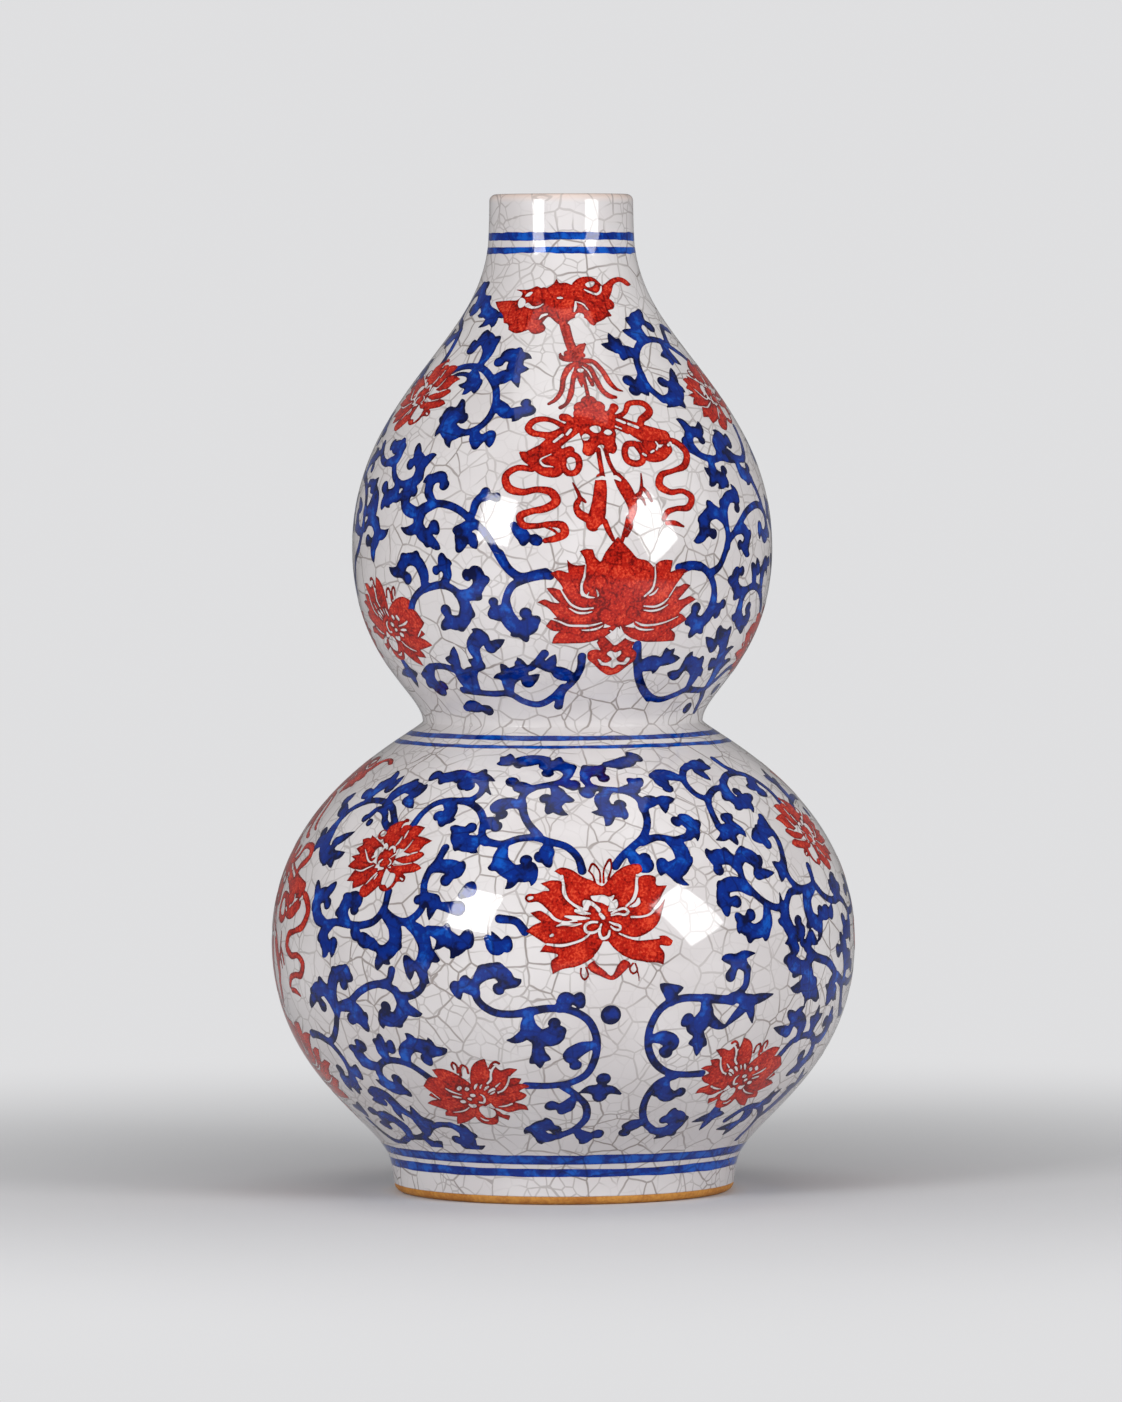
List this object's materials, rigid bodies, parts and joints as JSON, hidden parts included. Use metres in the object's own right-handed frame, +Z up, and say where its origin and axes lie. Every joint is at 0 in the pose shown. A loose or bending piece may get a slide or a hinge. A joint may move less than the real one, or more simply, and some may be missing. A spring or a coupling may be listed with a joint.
{
  "type": "double-gourd vase",
  "caption": "Double-gourd porcelain vase with a short collar mouth, a narrow waist and a turned foot ring, luted together from thrown sections, for flowers or display.",
  "frame": {"origin": "on the table at the middle of the foot ring", "axes": "+Z up along the turning axis, -Y towards the viewer of the picture, +X to the viewer's right"},
  "size_m": [0.1756, 0.1756, 0.3],
  "materials": {
    "glazed_porcelain": "glossy crackle glaze",
    "dried_slip": "matte",
    "bare_foot_clay": "matte ochre wash",
    "cobalt_blue_painting": "glossy, under the glaze",
    "iron_red_enamel": "glossy enamel over the glaze"
  },
  "bodies": {
    "root": {"neck_collar": "glazed_porcelain", "collar_slip_joint": "dried_slip", "upper_bulb_crown": "glazed_porcelain", "upper_equator_slip_joint": "dried_slip", "upper_bulb_bowl": "glazed_porcelain", "waist_slip_joint": "dried_slip", "lower_bulb_crown": "glazed_porcelain", "lower_equator_slip_joint": "dried_slip", "lower_bulb_bowl": "glazed_porcelain", "foot_slip_joint": "dried_slip", "foot_ring": "bare_foot_clay"}
  },
  "joints": []
}
